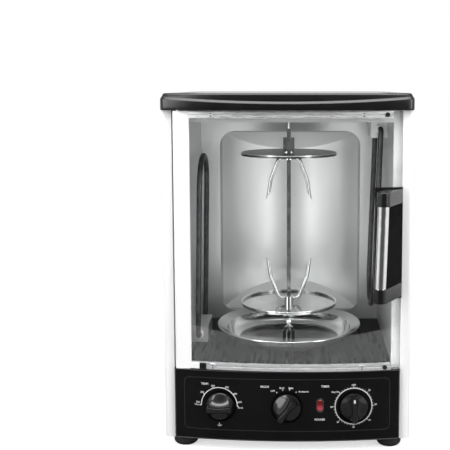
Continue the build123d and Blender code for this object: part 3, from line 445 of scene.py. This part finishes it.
small, medium = 0.0034, 0.0042
temperature_x, temperature_z = -0.0940, 0.0658
timer_x, timer_z = 0.0925, 0.0657
prints = [printed_arc(temperature_x, temperature_z, 0.0252, -92, 92),
          printed_arc(timer_x, timer_z, 0.0257, 0, 360, steps=160)]
prints += ticks(temperature_x, temperature_z, 0.0254, 0.0018, 0.0011, (-92, -55, -20, 20, 52, 80, 92))
prints += ticks(temperature_x, 0.0640, 0.0238, 0.0016, 0.0010, (180,))
prints += ticks(0.0, 0.0655, 0.0240, 0.0018, 0.0010, (-34, -13, 9, 31))
prints += ticks(timer_x, timer_z, 0.0266, 0.0016, 0.0010, range(0, 360, 45))
prints += ticks(timer_x, timer_z, 0.0268, 0.0009, 0.0006,
                [angle for angle in range(0, 360, 9) if angle % 45])
for words, x, z, size in (
        ("TEMP.", -0.1138, 0.0955, medium), ("250", -0.1180, 0.0834, small),
        ("300", -0.1028, 0.0930, small), ("350", -0.0832, 0.0918, small),
        ("400", -0.0715, 0.0828, small), ("450", -0.0650, 0.0712, small),
        ("Broil", -0.0643, 0.0630, small), ("200", -0.1242, 0.0688, small),
        ("Warm", -0.1246, 0.0652, small), ("OFF", -0.0935, 0.0366, small),
        ("MODE", -0.0305, 0.0940, medium), ("OFF", -0.0195, 0.0882, small),
        ("Broil", -0.0068, 0.0925, small), ("Bake", 0.0056, 0.0925, small),
        ("Rotisserie", 0.0232, 0.0875, small), ("TIMER", 0.0530, 0.0945, medium),
        ("POWER", 0.0457, 0.0472, medium), ("Stay On", 0.0672, 0.0866, small),
        ("OFF", 0.0925, 0.0958, small), ("10", 0.1142, 0.0876, small),
        ("20", 0.1232, 0.0671, small), ("30", 0.1150, 0.0448, small),
        ("40", 0.0925, 0.0355, small), ("50", 0.0710, 0.0434, small),
        ("60", 0.0620, 0.0652, small)):
    prints.append(lettering(words, x, z, size))
piece("panel_printing", prints, ink, "case", "white_enamel", sharp=30)
piece("panel_frame_line", [rounded_frame(0.143, 0.0307, 0.1045, 0.007, 0.0010, 0.0004)],
      frame_painted_highlight, "case", "black_plastic", sharp=30)
piece("panel_edge_line", [rounded_frame(0.1563, 0.0166, 0.1150, 0.0015, 0.0013, 0.0005)],
      edge_highlight_paint, "case", "black_plastic", sharp=30)

# ---------------------------------------------------------------------------------------------
# Knobs: glossy black mouldings pushed on to the shafts. A round skirt rises in two scooped hollows
# to a waisted grip across the middle. Only the timer's grip has a white mark at its pointer end.
knob_gloss = Finish("knob_gloss", 0.14)
knob_gloss.colour(knob_gloss.noise(40), (0.006, 0.006, 0.006), (0.010, 0.010, 0.010))
knob_gloss.gloss(knob_gloss.noise(160), 0.10, 0.20)


def knob_blocks(low, high, pointer):
    """Knob and its mark between the corners of its box, pointer at an angle clockwise from the top.

    Every row is a loop round the shaft. Over the rise it passes from the round skirt into the grip,
    faster at first so that the flanks hollow. The grip's half width grows with the square of the
    distance from the middle.
    """
    centre_x, centre_z = (low[0] + high[0]) / 2, (low[2] + high[2]) / 2
    radius, depth = (high[2] - low[2]) / 2, high[1] - low[1]
    angle = np.arange(96) * 2 * math.pi / 96
    circle = np.stack([np.cos(angle), np.sin(angle)], -1)
    along = np.sign(circle[:, 0]) * np.abs(circle[:, 0]) ** 0.85
    side = np.sign(circle[:, 1]) * np.abs(circle[:, 1]) ** 0.45
    grip_reach, waist, flare = 0.0172, 0.0024, 0.0034
    skirt_height, crown = 0.0068, 0.0008
    grip = np.stack([along * grip_reach, side * (waist + flare * along ** 2)], -1)
    rows = [(circle * size * radius, forward) for size, forward in
            ((0.55, 0.0), (0.97, 0.0), (1.0, 0.0006), (1.0, 0.0052), (0.985, 0.0062), (0.95, skirt_height))]
    for rise in np.linspace(0.06, 1.0, 16):
        share = (1 - rise) ** 2.4
        rows.append((circle * radius * 0.95 * share + grip * (1 - share),
                     skirt_height + (depth - skirt_height - crown) * rise ** 0.9))
    for size, forward in ((0.94, 0.0003), (0.86, 0.0006), (0.5, crown), (0.02, crown)):
        rows.append((grip * size, depth - crown + forward))
    turn = math.radians(pointer)
    mark_x = np.array([0.0118, 0.0162, 0.0162, 0.0118])
    mark_z = np.array([-0.0011, -0.0011, 0.0011, 0.0011])
    mark = [(np.stack([mark_x, mark_z], -1), depth - forward) for forward in (0.0010, -0.0001)]
    blocks = []
    for loops in (rows, mark):
        flat = np.stack([loop for loop, _ in loops])
        forward = np.stack([np.full(len(loop), reach) for loop, reach in loops])
        blocks.append(woven(np.stack([
            centre_x + flat[..., 0] * math.sin(turn) + flat[..., 1] * math.cos(turn),
            high[1] - forward,
            centre_z + flat[..., 0] * math.cos(turn) - flat[..., 1] * math.sin(turn)], -1), False, True))
    return blocks


for control, pointer in (("temperature", -90), ("mode", 37), ("timer", 0)):
    body_block, mark_block = knob_blocks(*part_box(f"{control}_knob"), pointer)
    piece(f"{control}_grip", [body_block], knob_gloss, f"{control}_control", "black_plastic",
          f"{control}_knob", sharp=50)
    if control == "timer":
        piece("timer_mark", [mark_block], ink, "timer_control", "white_enamel", sharp=30)

# ---------------------------------------------------------------------------------------------
# Cavity liner: bright rolled steel, faintly streaked along its height. The round bay in the back is
# painted brighter towards its deepest part, a painted light, and the floor is painted dark and dull, a
# painted shade.
liner = Finish("liner_steel", 0.3, 0.7)
streaks = liner.noise(24, 1, liner.stretched(8.0, 8.0, 0.2))
liner.colour(streaks, (0.45, 0.45, 0.45), (0.50, 0.50, 0.50)).gloss(streaks, 0.30, 0.33)
wear(liner, "cavity_side_walls", "cavity_ceiling", "heater_brackets")

bay_steel = Finish("bay_steel", 0.3, 0.7)
streaks = bay_steel.noise(24, 1, bay_steel.stretched(8.0, 8.0, 0.2))
bay_start = column_front + 0.259
# painted light: the bay's colour runs from mid grey at its mouth to near white deeper in, for the shine of
# the deep bay
bay_steel.colour(bay_steel.between("Y", bay_start, bay_start + 0.005),
                 (0.56, 0.56, 0.56), (0.90, 0.90, 0.90)).gloss(streaks, 0.29, 0.31)
wear(bay_steel, "cavity_back")

floor_steel = Finish("cavity_floor_steel", 0.3, 0.95)
streaks = floor_steel.noise(24, 3, floor_steel.stretched(6.0, 0.4, 1.0))
# painted shade: the floor is painted near black for the shade under the tray and in the cavity
floor_steel.colour(streaks, (0.05, 0.05, 0.05), (0.065, 0.065, 0.065)).gloss(streaks, 0.29, 0.32)
floor_steel.shader.inputs["Specular Tint"].default_value = (0.3, 0.3, 0.3, 1)
wear(floor_steel, "cavity_floor")

sheath = Finish("heater_sheath", 0.45, 0.6)
sheath.colour(sheath.noise(120, 5), (0.02, 0.02, 0.021), (0.05, 0.05, 0.052))
sheath.gloss(sheath.noise(300), 0.32, 0.5).relief(sheath.noise(1500), 0.0001)
wear(sheath, "left_heater", "right_heater")

ceramic = Finish("white_ceramic", 0.7)
ceramic.colour(ceramic.noise(300), (0.62, 0.60, 0.55), (0.76, 0.74, 0.69))
ceramic.relief(ceramic.noise(1200), 0.0001)
wear(ceramic, "heater_bushes")

# ---------------------------------------------------------------------------------------------
# Turning parts: polished steel bar, plates, hubs and prongs over a spun tray. Each plate has a rolled
# edge, the upper one is painted dark as a painted reflection of the dim ceiling, and the tray is a bowl with
# a rolled rim and a middle collar, its flat floor painted dark as painted shade.
chrome = Finish("polished_steel", 0.12, 1.0)
chrome.colour(chrome.noise(50), (0.74, 0.74, 0.75), (0.86, 0.86, 0.87))
chrome.gloss(chrome.noise(140, 4), 0.08, 0.2)
wear(chrome, "drive_socket", "spindle_bar", "spindle_bearing", "upper_fork_hub", "upper_prongs",
     "upper_thumbscrew", "lower_fork_hub", "lower_prongs", "lower_thumbscrew", "handle_tube",
     "hinge_pins")

spun = Finish("spun_steel", 0.14, 1.0)
spun.colour(spun.noise(50), (0.40, 0.40, 0.40), (0.48, 0.48, 0.48))
spun.gloss(spun.noise(140, 4), 0.08, 0.14)
wear(spun, "lower_disc")

# painted reflection: the upper disc is painted dark for the dim ceiling it mirrors
painted_reflection_disc = Finish("painted_reflection_steel", 0.22, 1.0)
painted_reflection_disc.colour(painted_reflection_disc.noise(50), (0.10, 0.10, 0.10), (0.16, 0.16, 0.16))
wear(painted_reflection_disc, "upper_disc")


def lathe(profile, centre, steps=96):
    """Closed profile of radius and height points turned about an upright axis."""
    angle = np.arange(steps) * 2 * math.pi / steps
    radius, height = np.asarray(profile)[:, :1], np.asarray(profile)[:, 1:]
    grid = np.stack([centre[0] + radius * np.cos(angle), centre[1] + radius * np.sin(angle),
                     np.broadcast_to(height, (len(profile), steps))], -1)
    return woven(grid, True, True)


def through(start, middle, end, steps=14):
    """Smooth curve through three points, as a quadratic in the step."""
    t = np.linspace(0, 1, steps)[:, None]
    start, middle, end = np.array(start), np.array(middle), np.array(end)
    return start * (1 - t) * (1 - 2 * t) + middle * 4 * t * (1 - t) + end * t * (2 * t - 1)


def bead(radius, height, thickness, start, end, steps=16):
    """Part of a round section, angles in degrees anticlockwise from straight outwards."""
    angle = np.radians(np.linspace(start, end, steps))
    return np.stack([radius + thickness * np.cos(angle), height + thickness * np.sin(angle)], -1)


spindle_low, spindle_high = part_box("spindle_bar")
spindle = ((spindle_low[0] + spindle_high[0]) / 2, (spindle_low[1] + spindle_high[1]) / 2)
tray_low, tray_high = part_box("drip_tray")
rim = tray_high[0] - spindle[0]
tray_floor, tray_sheet, tray_bead = tray_low[2], 0.0009, 0.0015
collar_in, collar_out, collar_top = 0.0082, 0.0094, 0.1280
flat_reach, slope_start = 0.0400, rim - 0.0350
tray_profile = np.concatenate([
    [(collar_in, tray_floor), (flat_reach, tray_floor)],
    through((slope_start, tray_floor), (rim - 0.0215, tray_floor + 0.0053),
            (rim - 0.0145, tray_floor + 0.0172)),
    bead(rim - tray_bead, tray_high[2] - tray_bead, tray_bead, -100, 150),
    through((rim - 0.0154, tray_floor + 0.0182), (rim - 0.0224, tray_floor + 0.0061),
            (slope_start, tray_floor + tray_sheet)),
    [(flat_reach, tray_floor + tray_sheet), (collar_out, tray_floor + tray_sheet),
     (collar_out, collar_top), (collar_in, collar_top)]])
tray_steel = Finish("tray_steel", 0.12, 1.0)
flat_place = tray_steel.tree.nodes.new("ShaderNodeVectorMath")
flat_place.operation = "MULTIPLY"
flat_place.inputs[1].default_value = (1.0, 1.0, 0.0)
reach = tray_steel.tree.nodes.new("ShaderNodeVectorMath")
reach.operation = "DISTANCE"
reach.inputs[1].default_value = (*spindle, 0.0)
tray_steel.tree.links.new(tray_steel.place, flat_place.inputs[0])
tray_steel.tree.links.new(flat_place.outputs["Vector"], reach.inputs[0])
# painted shade: the bowl's flat floor inside the slope is painted dark, while the slope and rim stay bright
tray_steel.colour(tray_steel.share(reach.outputs["Value"], rim - 0.037, rim - 0.033),
                  (0.16, 0.16, 0.16), (0.62, 0.62, 0.62))
tray_steel.gloss(tray_steel.noise(140, 4), 0.08, 0.15)
piece("tray_bowl", [lathe(tray_profile, spindle)], tray_steel, "tray", "chrome_bright", "drip_tray",
      sharp=50)
for level, sink in (("upper", 0.0008), ("lower", 0.0004)):
    disc_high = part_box(f"{level}_disc")[1]
    rolled = bead(disc_high[0] - spindle[0] - 0.0003, disc_high[2] - sink, 0.0011, 0, 337.5)
    piece(f"{level}_disc_edge", [lathe(rolled, spindle)], chrome, f"{level}_fork", "chrome_bright", sharp=60)

# ---------------------------------------------------------------------------------------------
# Controls behind the panel in a beige moulding compound, and the power lamp: a red lens, painted
# paler towards its foot as painted light, in a dark bezel.
phenolic = Finish("beige_moulding", 0.5)
phenolic.colour(phenolic.noise(90), (0.40, 0.36, 0.27), (0.48, 0.43, 0.33))
phenolic.relief(phenolic.noise(900), 0.0001)
wear(phenolic, "thermostat", "mode_switch", "timer_unit")

lens = Finish("red_lens", 0.18)
lens_low, lens_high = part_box("lamp_lens")
# painted light: the lens colour runs from deep red at the top to a paler red at its foot
lens.colour(lens.between("Z", lens_high[2] - 0.002, lens_low[2]), (0.13, 0.003, 0.004), (0.38, 0.05, 0.06))
wear(lens, "lamp_lens")

bezel_grey = Finish("lamp_bezel", 0.3)
bezel_grey.colour(bezel_grey.noise(200), (0.02, 0.02, 0.02), (0.04, 0.04, 0.04))
wear(bezel_grey, "lamp_bezel")

# ---------------------------------------------------------------------------------------------
# Door: bowed tempered glass held by a painted stile and two brushed aluminium channels. Each channel
# has a groove along its face and two small slotted clamps. The stile ends in a white foot, with a
# black stop beside it.
rail_metal = Finish("brushed_aluminium", 0.3, 0.7)
grain = rail_metal.noise(40, 4, rail_metal.stretched(1.0, 1.0, 60.0))
rail_metal.colour(grain, (0.72, 0.72, 0.73), (0.9, 0.9, 0.91)).gloss(grain, 0.2, 0.4)
glass_middle_x, glass_radius = 0.0115, 0.775
glass_middle_y = column_front - 0.020 + glass_radius


def along_glass(section, x_start, x_end, steps):
    """Closed section of distance outwards and height points, swept round the bow of the glass."""
    angle = np.arcsin((np.linspace(x_start, x_end, steps) - glass_middle_x) / glass_radius)[:, None]
    radius, height = glass_radius + np.asarray(section)[:, 0], np.asarray(section)[:, 1]
    grid = np.stack([glass_middle_x + radius * np.sin(angle), glass_middle_y - radius * np.cos(angle),
                     np.broadcast_to(height, (steps, len(section)))], -1)
    return woven(grid, False, True)


channel = np.array([(0.0016, 0.0), (0.0016, 0.0030), (0.0008, 0.0034), (0.0008, 0.0048), (0.0018, 0.0052),
                    (0.0018, 0.0088), (0.0011, 0.0095), (-0.0051, 0.0095), (-0.0056, 0.0090), (-0.0056, 0.0),
                    (-0.0041, 0.0), (-0.0041, 0.0080), (0.0001, 0.0080), (0.0001, 0.0)])
clamp = np.array([(0.0012, 0.0004), (0.0026, 0.0010), (0.0026, 0.0084), (0.0012, 0.0092)])
clamp_length, slot_length = 0.008, 0.002
slot_section = np.array([(0.0020, 0.0), (0.0028, 0.0), (0.0028, 0.0014), (0.0020, 0.0014)])
top_low, top_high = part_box("door_top_rail")
bottom_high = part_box("door_bottom_rail")[1]
for rail, base, way in (("top", top_low[2], 1), ("bottom", bottom_high[2], -1)):
    flip, place = [1, way], [0, base]
    piece(f"{rail}_channel", [along_glass(channel * flip + place, top_low[0], top_high[0], 72)],
          rail_metal, "door", "rail_aluminium", f"door_{rail}_rail", sharp=25)
    piece(f"{rail}_clamps",
          [along_glass(clamp * flip + place, x, x + clamp_length, 4) for x in (0.099, -0.106)],
          rail_metal, "door", "rail_aluminium", sharp=25)
    # painted shade: each slot is a dark steel block laid on the clamp, standing for the shade inside the
    # slot
    piece(f"{rail}_clamp_slots",
          [along_glass((slot_section + [0, z]) * flip + place, x, x + slot_length, 3)
           for x in (0.102, -0.103) for z in (0.0022, 0.0058)],
          black_steel, "door", "dark_screw", sharp=25)
foot_start, foot_end, stop_end = -0.1335, -0.1205, -0.1115
foot_section = clamp * [1, -1] + [0, bottom_high[2]]
piece("stile_foot", [along_glass(foot_section, foot_start, foot_end, 5)], enamel, "door",
      "white_enamel", sharp=25)
piece("rail_stop", [along_glass(foot_section * [1.2, 1], foot_end, stop_end, 5)], black_plastic, "door",
      "black_plastic", sharp=25)

glass = Finish("door_glass", 0.0)
glass.shader.inputs["Base Color"].default_value = (0.97, 0.985, 0.98, 1)
glass.shader.inputs["Transmission Weight"].default_value = 1.0
glass.shader.inputs["IOR"].default_value = 1.45
clear = glass.tree.nodes.new("ShaderNodeBsdfTransparent")
ray = glass.tree.nodes.new("ShaderNodeLightPath")
either = glass.tree.nodes.new("ShaderNodeMixShader")
glass.tree.links.new(ray.outputs["Is Shadow Ray"], either.inputs[0])
glass.tree.links.new(glass.shader.outputs["BSDF"], either.inputs[1])
glass.tree.links.new(clear.outputs["BSDF"], either.inputs[2])
glass.tree.links.new(either.outputs["Shader"], glass.tree.nodes["Material Output"].inputs["Surface"])
wear(glass, "door_glass")

# ---------------------------------------------------------------------------------------------
# Handle: a glossy black moulded base with an end cap above and below. The caps grip the polished
# steel tube between them, which wears the turning parts' finish.
handle_gloss = Finish("handle_gloss", 0.2)
handle_gloss.colour(handle_gloss.noise(40), (0.005, 0.005, 0.005), (0.008, 0.008, 0.008))
handle_gloss.gloss(handle_gloss.noise(160), 0.14, 0.26)
wear(handle_gloss, "handle_base", "handle_caps")
